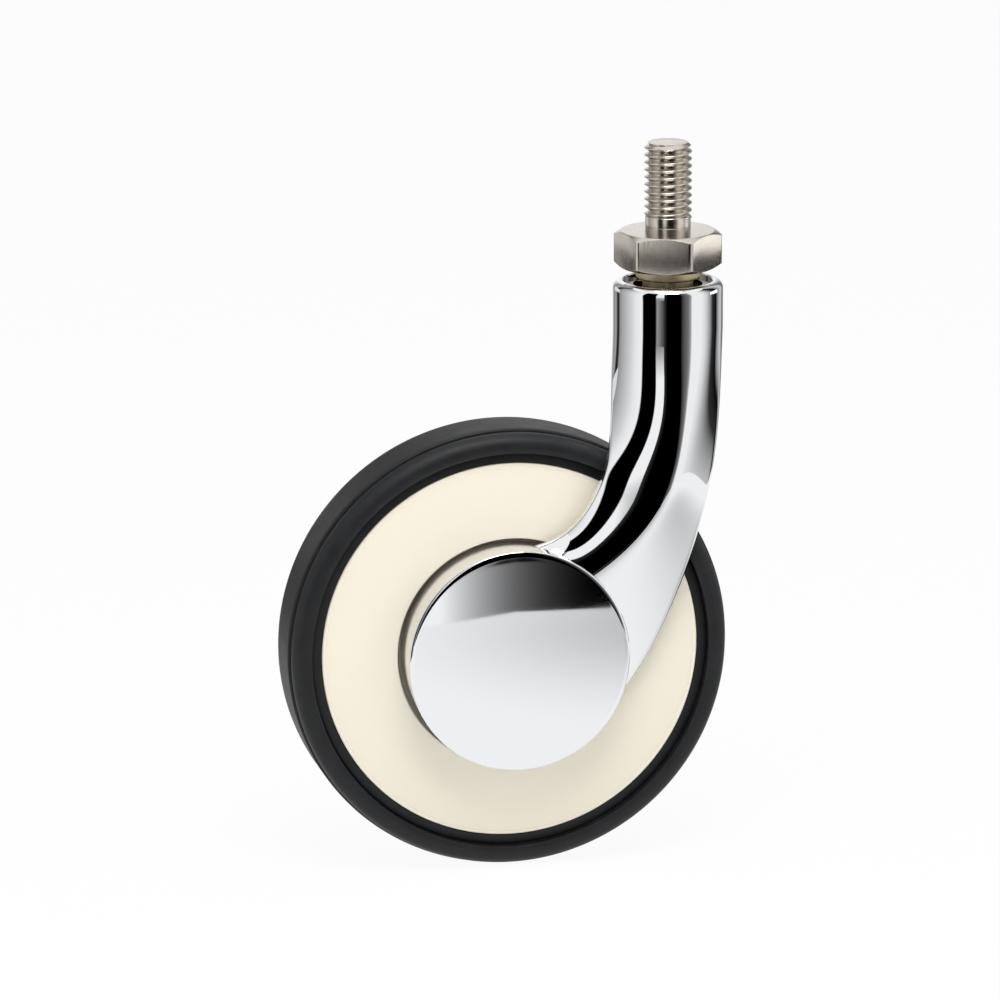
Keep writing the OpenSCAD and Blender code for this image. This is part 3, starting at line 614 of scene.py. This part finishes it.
class CASTOR_OT_arm(bpy.types.Operator):
    """Model the arm: rim, tube, sweep past the tyre and boss"""

    bl_idname = "castor.arm"
    bl_label = "Chrome arm"

    def execute(self, context):
        size = context.scene.castor_arm
        rim = size.rim_round / MM
        fillet, tube, sweep = 14, 8, 170
        rows = fillet + tube + sweep

        def skin(u, v):
            row = round(v * rows)
            turn = 2 * math.pi * (u % 1)
            if row <= fillet:
                a = math.radians(90 * (1 - row / fillet))
                r, z = TUBE_R - rim + rim * math.cos(a), RIM_Z - rim + rim * math.sin(a)
                return (r * math.cos(turn), r * math.sin(turn), z)
            if row <= fillet + tube:
                z = mix(RIM_Z - rim, TUBE_END, (row - fillet) / tube)
                return (TUBE_R * math.cos(turn), TUBE_R * math.sin(turn), z)
            return arm_section((row - fillet - tube) / sweep, turn)

        arm = sealed(wrapped("chrome_arm", 168, rows, skin))
        shoulder_r, shoulder_face = 5.2, BOSS_BACK + 0.5
        boss = on_axle(turned("boss", [(0, BOSS_BACK), (shoulder_r, BOSS_BACK), (shoulder_r, shoulder_face),
                                       (BOSS_R - 0.25, shoulder_face), (BOSS_R, shoulder_face + 0.25),
                                       (BOSS_R, BOSS_FACE), (0, BOSS_FACE)], 256))
        combined(arm, boss, "UNION")
        well_r, well_end, groove_r, mouth_r = 6.3, -25.9, HOUSING_R + 0.35, HOUSING_R + 0.2
        bore = turned("housing_bore", [(0, well_end), (well_r, well_end), (well_r, RING_TOP),
                                       (HOUSING_R, RING_TOP), (HOUSING_R, NECK_END), (groove_r, NECK_END),
                                       (groove_r, NECK_END + 1), (HOUSING_R, NECK_END + 1),
                                       (HOUSING_R, RIM_Z - 0.2), (mouth_r, RIM_Z), (mouth_r, RIM_Z + 0.5),
                                       (0, RIM_Z + 0.5)], 128)
        combined(arm, bore, "DIFFERENCE")
        pin_r, head_r, head_back, plug_back = 4, 6.8, 10.3, 11.25
        steps = on_axle(turned("boss_bore", [(0, BOSS_BACK - 0.5), (pin_r, BOSS_BACK - 0.5),
                                             (pin_r, head_back), (head_r, head_back), (head_r, plug_back),
                                             (CAP_PLUG_R, plug_back), (CAP_PLUG_R, BOSS_FACE),
                                             (BOSS_R + 0.02, BOSS_FACE), (BOSS_R + 0.02, BOSS_FACE + 2),
                                             (0, BOSS_FACE + 2)], 256))
        combined(arm, steps, "DIFFERENCE")
        arm.name = "chrome_arm"
        smooth(arm, 30)
        dressed(arm, chrome_plate(context.scene.castor_finish), "arm", "chrome_plate", "arm")
        return {"FINISHED"}


class CASTOR_OT_cap(bpy.types.Operator):
    """Model the chrome cap that closes the boss"""

    bl_idname = "castor.cap"
    bl_label = "Boss cap"

    def execute(self, context):
        size = context.scene.castor_arm
        roll, dome = size.cap_roll / MM, size.cap_dome / MM
        rise, thick, plug_h, plug_wall = 0.3, 0.8, 2, 1.2
        flat_r = BOSS_R - roll
        curve_r = (flat_r ** 2 + dome ** 2) / (2 * dome)
        face = BOSS_FACE + thick + 0.02
        edge = [(BOSS_R - roll + roll * math.sin(a), face - rise + rise * math.cos(a))
                for a in (math.radians(90 - 90 * i / 12) for i in range(12))]
        dish = [(flat_r * i / 40, face + math.sqrt(curve_r ** 2 - (flat_r * i / 40) ** 2) - curve_r + dome)
                for i in range(40, -1, -1)]
        plug = [(0, BOSS_FACE), (CAP_PLUG_R - plug_wall, BOSS_FACE),
                (CAP_PLUG_R - plug_wall, BOSS_FACE - plug_h), (CAP_PLUG_R, BOSS_FACE - plug_h)]
        rim = [(CAP_PLUG_R, BOSS_FACE), (BOSS_R - 0.1, BOSS_FACE), (BOSS_R - 0.1, BOSS_FACE + 0.08),
               (BOSS_R, BOSS_FACE + 0.14)]
        outline = plug + rim + edge + dish
        cap = smooth(on_axle(turned("chrome_cap", outline, 256)), 32)
        dressed(cap, chrome_plate(context.scene.castor_finish), "arm", "chrome_plate", "boss_cap")
        return {"FINISHED"}


# Height of the cream face at its edge and its rise towards the hub, and the channel that holds the tyre
FACE_LOW, FACE_RISE = 5.95, 1.1
CHANNEL_Y, CHANNEL_DEPTH = FACE_LOW - 1.6, 2.4


def face_height(r, hole_r, edge_r):
    """Height of the cream face at a radius between the hole and the edge"""
    return FACE_LOW + FACE_RISE * (1 - ((r - hole_r) / (edge_r - hole_r)) ** 2)


class CASTOR_OT_wheel(bpy.types.Operator):
    """Model the cream wheel core and its hub cover"""

    bl_idname = "castor.wheel"
    bl_label = "Cream wheel"

    def execute(self, context):
        size = context.scene.castor_wheel
        face_r, lip = size.face_d / 2 / MM, size.lip / MM
        hole_r, bore_r, hub_r, hub_seat = BOSS_R + 0.6, 8.0, 12.5, -6.2
        stop_r, stop_top, stop_end, soft = 7.1, -0.6, -2.2, 0.3
        lip_r, channel_r, steps = face_r - lip, face_r - CHANNEL_DEPTH, 36
        near = [(r, face_height(r, hole_r, face_r))
                for r in (mix(hole_r + soft, lip_r - 0.1, i / steps) for i in range(steps + 1))]
        lip_y = near[-1][1]
        lip_points = [(lip_r - 0.04, lip_y - 0.06), (lip_r + 0.04, lip_y - 0.05)] \
            + arc((face_r - 0.25, lip_y - 0.22), 0.25, 100, 0)
        far = [(r, -face_height(r, hub_r, face_r))
               for r in (mix(face_r - soft, hub_r + 0.15, i / steps) for i in range(steps + 1))]
        channel = [(face_r, CHANNEL_Y), (channel_r, CHANNEL_Y), (channel_r, -CHANNEL_Y), (face_r, -CHANNEL_Y)]
        hub_bore = [(hub_r, far[-1][1] + 0.15), (hub_r, hub_seat), (bore_r, hub_seat), (bore_r, stop_end),
                    (stop_r, stop_end), (stop_r, stop_top), (bore_r, stop_top)]
        outline = [(bore_r, 3.3), (hole_r, 3.3)] \
            + arc((hole_r + soft, near[0][1] - soft), soft, 180, 95) + near + lip_points + channel \
            + arc((face_r - soft, far[0][1] + soft), soft, 0, -85, 6) + far + hub_bore
        cream = cream_moulding(context.scene.castor_finish)
        core = smooth(on_axle(turned("cream_core", outline, 256)), 32)
        dressed(core, cream, "wheel", "cream_moulding", "wheel_core")
        cover_y, wall, turn_r = -8.9, 0.9, 0.6
        cover = [(0, cover_y + wall), (0, cover_y), (hub_r - turn_r - 0.01, cover_y)] \
            + arc((hub_r - turn_r, cover_y + turn_r), turn_r, -88, 0) \
            + [(hub_r, hub_seat), (hub_r - wall, hub_seat), (hub_r - wall, cover_y + wall + 0.3),
               (hub_r - wall - 0.3, cover_y + wall)]
        hub = smooth(on_axle(turned("hub_cover_cup", cover, 128)), 32)
        dressed(hub, cream, "wheel", "cream_moulding", "hub_cover")
        return {"FINISHED"}


class CASTOR_OT_tyre(bpy.types.Operator):
    """Model the rubber tyre with its bead, narrow groove and tread"""

    bl_idname = "castor.tyre"
    bl_label = "Rubber tyre"

    def execute(self, context):
        size = context.scene.castor_wheel
        tread_r, side, face_r = size.tyre_d / 2 / MM, size.tyre_w / 2 / MM, size.face_d / 2 / MM
        groove_w = size.groove_w / MM
        bead_r, bead, crease_r = tread_r - 0.4, 2.2, face_r + 1.8
        ring_y, channel_r = 5.75, face_r - CHANNEL_DEPTH
        groove_y = side - 2.9
        # From the channel over the flat ring beside the cream face to the crease under the bead
        near = [(channel_r, -CHANNEL_Y), (channel_r, CHANNEL_Y), (face_r + 0.02, CHANNEL_Y),
                (face_r + 0.02, ring_y - 0.12), (face_r + 0.12, ring_y), (crease_r - 0.35, ring_y),
                (crease_r - 0.12, ring_y - 0.1), (crease_r, ring_y - 0.26), (crease_r + 0.1, ring_y - 0.06)]
        bead_arc = arc((bead_r - bead, side - bead), bead, 118, 4, 22)
        # The bead's edge and the narrow groove that parts it from the tread
        lip = [(bead_r + 0.02, groove_y + groove_w / 2 + 0.22), (bead_r - 0.06, groove_y + groove_w / 2),
               (bead_r - 0.8, groove_y + 0.06), (bead_r - 0.8, groove_y - 0.06),
               (bead_r - 0.05, groove_y - groove_w / 2)]
        tread = arc((tread_r - 0.4, groove_y - groove_w / 2 - 0.4), 0.4, 90, 0, 6)
        far_round = 2.6
        tread_end = -side + far_round
        flat = [(tread_r, mix(tread[-1][1], tread_end, i / 8)) for i in range(1, 8)]
        far = arc((tread_r - far_round, tread_end), far_round, 0, -100, 14)
        outline = near + bead_arc + lip + tread + flat + far \
            + [(crease_r, -ring_y), (face_r, -ring_y), (face_r, -CHANNEL_Y)]
        tyre = smooth(on_axle(turned("rubber_tyre", outline, 288)), 40)
        dressed(tyre, black_rubber(context.scene.castor_finish), "wheel", "black_rubber", "tyre")
        return {"FINISHED"}


class CASTOR_OT_bearings(bpy.types.Operator):
    """Finish the bearings, the pin and the rings, which keep the shapes of the frame"""

    bl_idname = "castor.bearings"
    bl_label = "Bearings and fasteners"

    def execute(self, context):
        finish = context.scene.castor_finish
        darker = tuple(c * 0.7 for c in finish.steel)
        kinds = {"bearing_steel": plain_metal("ground_bearing_steel", finish.steel, 0.12, 0.22, 0.1),
                 "turned_steel": plain_metal("turned_mild_steel", finish.steel, 0.25, 0.4, 0.15),
                 "spring_steel": plain_metal("bronzed_spring_steel", finish.bronzed, 0.08, 0.16, 0.6),
                 "shield_steel": plain_metal("pressed_sheet_steel", darker, 0.3, 0.45, 0.2),
                 "cage_moulding": cage_moulding(finish)}
        slots = {part["node"]: part["material_slot"] for part in frame["record"]["subparts"]}
        for name, node in frame["nodes"].items():
            material = kinds.get(slots[name])
            if material:
                node.data.materials.clear()
                node.data.materials.append(material)
        deselect()
        return {"FINISHED"}


# Stage


def card(name, left, right, foot, head, start, end, tones, curve=1.0):
    """An upright studio card that only shows in reflections: its corners' places and heights, and two
    strengths with the points between which the tone falls"""
    deselect()
    bpy.ops.mesh.primitive_plane_add(size=1)
    plane = bpy.context.object
    plane.name = name
    corners = ((*left, foot), (*right, foot), (*left, head), (*right, head))
    for vertex, corner in zip(plane.data.vertices, corners):
        vertex.co = Vector(corner) * MM
    material, tree = blank(name)
    where = add(tree, "ShaderNodeTexCoord").outputs["Object"]
    way = Vector(end) - Vector(start)
    away = add(tree, "ShaderNodeVectorMath", {0: where, 1: Vector(start) * MM}, operation="SUBTRACT")
    along = add(tree, "ShaderNodeVectorMath", {0: away.outputs[0], 1: way.normalized()},
                operation="DOT_PRODUCT")
    fall = add(tree, "ShaderNodeMapRange", {"Value": along.outputs["Value"], "From Max": way.length * MM,
                                            "To Min": 1.0, "To Max": 0.0})
    soft = add(tree, "ShaderNodeMath", {0: fall.outputs[0], 1: curve}, operation="POWER")
    level = add(tree, "ShaderNodeMapRange", {"Value": soft.outputs[0], "To Min": tones[1],
                                             "To Max": tones[0]})
    glow = add(tree, "ShaderNodeEmission", {"Color": level.outputs[0], "Strength": 1.0})
    add(tree, "ShaderNodeOutputMaterial", {"Surface": glow.outputs[0]})
    plane.data.materials.append(material)
    only_reflected(plane)


def pool(name, centre, reach, strength):
    """A round patch on the floor that only shows in reflections and fades outwards"""
    deselect()
    bpy.ops.mesh.primitive_circle_add(vertices=96, radius=reach * MM, fill_type="NGON",
                                      location=Vector(centre) * MM)
    bpy.ops.object.transform_apply(location=True, rotation=False, scale=False)
    patch = bpy.context.object
    patch.name = name
    material, tree = blank(name)
    where = add(tree, "ShaderNodeTexCoord").outputs["Object"]
    away = add(tree, "ShaderNodeVectorMath", {0: where, 1: Vector(centre) * MM}, operation="DISTANCE")
    level = add(tree, "ShaderNodeMapRange", {"Value": away.outputs["Value"], "From Max": reach * MM},
                interpolation_type="SMOOTHSTEP")
    glow = add(tree, "ShaderNodeEmission", {"Color": rgba((strength,) * 3), "Strength": 1.0})
    clear = add(tree, "ShaderNodeBsdfTransparent")
    faded = add(tree, "ShaderNodeMixShader", {0: level.outputs[0], 1: glow.outputs[0], 2: clear.outputs[0]})
    add(tree, "ShaderNodeOutputMaterial", {"Surface": faded.outputs[0]})
    patch.data.materials.append(material)
    only_reflected(patch)


# Strength of the studio wall by azimuth in degrees: black flags stand where the chrome shows black
WALL = ((-180, 1.0), (-162, 0.25), (-148, 0.4), (-141, 0.02), (-134, 0.02), (-130, 0.32), (-110, 0.53),
        (-95, 0.7), (-82, 0.9), (-66.5, 1.0), (-65, 0.0), (-37, 0.0), (-35.5, 0.34), (-27, 0.16),
        (-19, 0.02), (-14, 0.0), (14, 0.0), (19, 0.07), (30, 0.18), (35, 0.4), (38, 0.97), (60, 0.97),
        (72, 0.75), (84, 0.34), (92, 0.03), (106, 0.0), (114, 0.36), (127, 0.68), (140, 0.1),
        (148, 0.3), (165, 1.0))


def studio_wall(low, high, reach):
    """A round wall that only shows in reflections, its tone falling in soft steps round the stem"""
    deselect()
    bpy.ops.mesh.primitive_cylinder_add(vertices=128, radius=reach * MM, depth=(high - low) * MM,
                                        end_fill_type="NOTHING", location=(0, 0, (high + low) / 2 * MM))
    bpy.ops.object.transform_apply(location=True, rotation=False, scale=False)
    wall = bpy.context.object
    wall.name = "studio_wall"
    material, tree = blank("studio_wall")
    where = add(tree, "ShaderNodeTexCoord").outputs["Object"]
    place = add(tree, "ShaderNodeSeparateXYZ", {"Vector": where})
    towards = add(tree, "ShaderNodeMath", {0: place.outputs["Y"], 1: -1.0}, operation="MULTIPLY")
    turn = add(tree, "ShaderNodeMath", {0: place.outputs["X"], 1: towards.outputs[0]}, operation="ARCTAN2")
    level = add(tree, "ShaderNodeMapRange", {"Value": turn.outputs[0], "From Min": -math.pi,
                                             "From Max": math.pi})
    ramp = add(tree, "ShaderNodeValToRGB", {"Fac": level.outputs[0]})
    stops = ramp.color_ramp.elements
    while len(stops) < len(WALL):
        stops.new(1.0)
    for stop, (azimuth, strength) in zip(stops, WALL):
        stop.position = (azimuth + 180) / 360
        stop.color = (strength, strength, strength, 1.0)
    glow = add(tree, "ShaderNodeEmission", {"Color": ramp.outputs["Color"], "Strength": 1.0})
    add(tree, "ShaderNodeOutputMaterial", {"Surface": glow.outputs[0]})
    wall.data.materials.append(material)
    only_reflected(wall)


def only_reflected(plane):
    """Hides a studio piece from all but reflections"""
    for ray in ("camera", "shadow", "diffuse", "transmission"):
        setattr(plane, f"visible_{ray}", False)


def seen_rays(tree):
    """The light paths, and 1 for rays that are seen directly, in a mirror or through glass"""
    paths = add(tree, "ShaderNodeLightPath")
    seen = paths.outputs["Is Camera Ray"]
    for kind in ("Is Glossy Ray", "Is Transmission Ray"):
        seen = add(tree, "ShaderNodeMath", {0: seen, 1: paths.outputs[kind]}, operation="MAXIMUM").outputs[0]
    return paths, seen


# Where the camera and the lamps look, in millimetres
CAMERA_TARGET, LAMP_TARGET = Vector((-28.918, 0, -45.084)), Vector((-20, 0, -60))
# Strength of the floor's own light where it is seen: the rest is lit, so that it keeps a faint shadow
FLOOR_SHARE = 0.94
# Radius and top of the studio wall, and radius, foot and top of its side sheets
WALL_R, WALL_TOP, SHEET_R, SHEET_FOOT, SHEET_TOP = 235, 260, 228, -46, 30


class CASTOR_OT_stage(bpy.types.Operator):
    """Set up the floor, the soft light, the studio cards and the camera"""

    bl_idname = "castor.stage"
    bl_label = "Stage"

    def execute(self, context):
        stage = context.scene.castor_stage
        floor_z = AXLE.z - context.scene.castor_wheel.tyre_d / 2 / MM
        deselect()
        bpy.ops.mesh.primitive_plane_add(size=8, location=(0, 0, floor_z * MM))
        floor = context.object
        floor.name = "floor"
        material, tree = blank("pale_floor")
        paths, seen = seen_rays(tree)
        share = add(tree, "ShaderNodeMath", {0: seen, 1: FLOOR_SHARE}, operation="MULTIPLY")
        matt = add(tree, "ShaderNodeBsdfDiffuse", {"Color": (0.94, 0.94, 0.94, 1.0)})
        glow = add(tree, "ShaderNodeEmission", {"Color": (1.0, 1.0, 1.0, 1.0), "Strength": 1.0})
        both = add(tree, "ShaderNodeMixShader", {0: share.outputs[0], 1: matt.outputs[0],
                                                 2: glow.outputs[0]})
        under = add(tree, "ShaderNodeNewGeometry")
        clear = add(tree, "ShaderNodeBsdfTransparent")
        below = add(tree, "ShaderNodeMath", {0: under.outputs["Backfacing"],
                                             1: paths.outputs["Is Camera Ray"]}, operation="MULTIPLY")
        shown = add(tree, "ShaderNodeMixShader", {0: below.outputs[0], 1: both.outputs[0],
                                                  2: clear.outputs[0]})
        add(tree, "ShaderNodeOutputMaterial", {"Surface": shown.outputs[0]})
        floor.data.materials.append(material)

        world = bpy.data.worlds.new("soft_room")
        world.use_nodes = True
        tree = world.node_tree
        tree.nodes.clear()
        strength = add(tree, "ShaderNodeMapRange", {"Value": seen_rays(tree)[1], "To Min": stage.room,
                                                    "To Max": 1.0})
        light = add(tree, "ShaderNodeBackground", {"Color": (1.0, 1.0, 1.0, 1.0),
                                                   "Strength": strength.outputs[0]})
        add(tree, "ShaderNodeOutputWorld", {"Surface": light.outputs[0]})
        context.scene.world = world

        studio_wall(floor_z, WALL_TOP, WALL_R)
        # A pale sheet above the slit between the flags brightens it where the arm leans back
        card("slit_sheet", (-136, -184), (-80, -215), -50, 200, (0, 0, -50), (0, 0, 10), (0.3, 1.0))
        # A low strip in front gives the cap its horizon, white at the left and black at the right
        strip_top = -92
        for side, left, right in (("left", (-95, -168), (12, -213)), ("right", (12, -213), (75, -202))):
            card(f"low_strip_{side}", left, right, floor_z, strip_top, (-12, 0, 0), (44, 0, 0),
                 (1.0, 0.0), 3.5)
        # Pale sheets high at both sides light the hexagon's side faces
        for side, azimuth, tone in (("left", -143, 0.8), ("right", 97, 1.5)):
            ends = [(SHEET_R * math.sin(turn), -SHEET_R * math.cos(turn))
                    for turn in (math.radians(azimuth + step) for step in (-13, 13))]
            card(f"{side}_sheet", *ends, SHEET_FOOT, SHEET_TOP, (0, 0, SHEET_FOOT), (0, 0, SHEET_TOP),
                 (tone, tone))
        # The floor falls to grey in front, as the cap shows, and at the right, as the arm's outer half does
        pool("front_fall", (62, -178, floor_z + 0.2), 108, 0.55)
        pool("right_fall", (100, -28, floor_z + 0.4), 85, 0.5)

        for name, place, reach, power in (("top_light", (-60, -345, 560), 0.4, stage.key),
                                          ("side_light", (-620, -420, 260), 0.5, stage.fill),
                                          ("right_light", (560, -480, 220), 0.4, stage.counter)):
            lamp = bpy.data.lights.new(name, "AREA")
            lamp.shape = "SQUARE"
            lamp.size = reach
            lamp.energy = power
            holder = bpy.data.objects.new(name, lamp)
            context.scene.collection.objects.link(holder)
            holder.visible_glossy = name == "top_light"  # the flags hide the side lights from the chrome
            holder.location = Vector(place) * MM
            aim = LAMP_TARGET * MM - holder.location
            holder.rotation_euler = aim.to_track_quat("-Z", "Y").to_euler()

        view = bpy.data.cameras.new("photo_camera")
        view.lens = stage.lens
        view.sensor_width = 36
        view.clip_end = 20
        camera = bpy.data.objects.new("photo_camera", view)
        context.scene.collection.objects.link(camera)
        turn = Matrix.Rotation(stage.azimuth, 4, "Z") \
            @ Matrix.Rotation(math.pi / 2 - stage.elevation, 4, "X") @ Matrix.Rotation(stage.roll, 4, "Z")
        camera.matrix_world = Matrix.Translation(CAMERA_TARGET * MM) @ turn \
            @ Matrix.Translation((0, 0, stage.distance))
        context.scene.camera = camera
        context.scene.view_settings.view_transform = "Standard"
        return {"FINISHED"}


class CASTOR_PT_panel(bpy.types.Panel):
    """The castor's pieces, sizes and finishes"""

    bl_idname = "CASTOR_PT_panel"
    bl_label = "Castor"
    bl_space_type = "VIEW_3D"
    bl_region_type = "UI"
    bl_category = "Castor"

    def draw(self, context):
        for group in ("castor_stem", "castor_arm", "castor_wheel", "castor_finish", "castor_stage"):
            box = self.layout.box()
            settings = getattr(context.scene, group)
            for key in type(settings).__annotations__:
                box.prop(settings, key)
        for operator in OPERATORS:
            self.layout.operator(operator.bl_idname)


GROUPS = {"castor_stem": CastorStemSizes, "castor_arm": CastorArmSizes, "castor_wheel": CastorWheelSizes,
          "castor_finish": CastorFinishes, "castor_stage": CastorStage}
OPERATORS = (CASTOR_OT_stem, CASTOR_OT_arm, CASTOR_OT_cap, CASTOR_OT_wheel, CASTOR_OT_tyre,
             CASTOR_OT_bearings, CASTOR_OT_stage)


def register():
    for kind in (*GROUPS.values(), *OPERATORS, CASTOR_PT_panel):
        bpy.utils.register_class(kind)
    for name, kind in GROUPS.items():
        setattr(bpy.types.Scene, name, PointerProperty(type=kind))


def unregister():
    for name in GROUPS:
        delattr(bpy.types.Scene, name)
    for kind in reversed((*GROUPS.values(), *OPERATORS, CASTOR_PT_panel)):
        bpy.utils.unregister_class(kind)


def main():
    register()
    bpy.ops.castor.stem()
    bpy.ops.castor.arm()
    bpy.ops.castor.cap()
    bpy.ops.castor.wheel()
    bpy.ops.castor.tyre()
    bpy.ops.castor.bearings()
    bpy.ops.castor.stage()


if __name__ == "__main__":
    main()
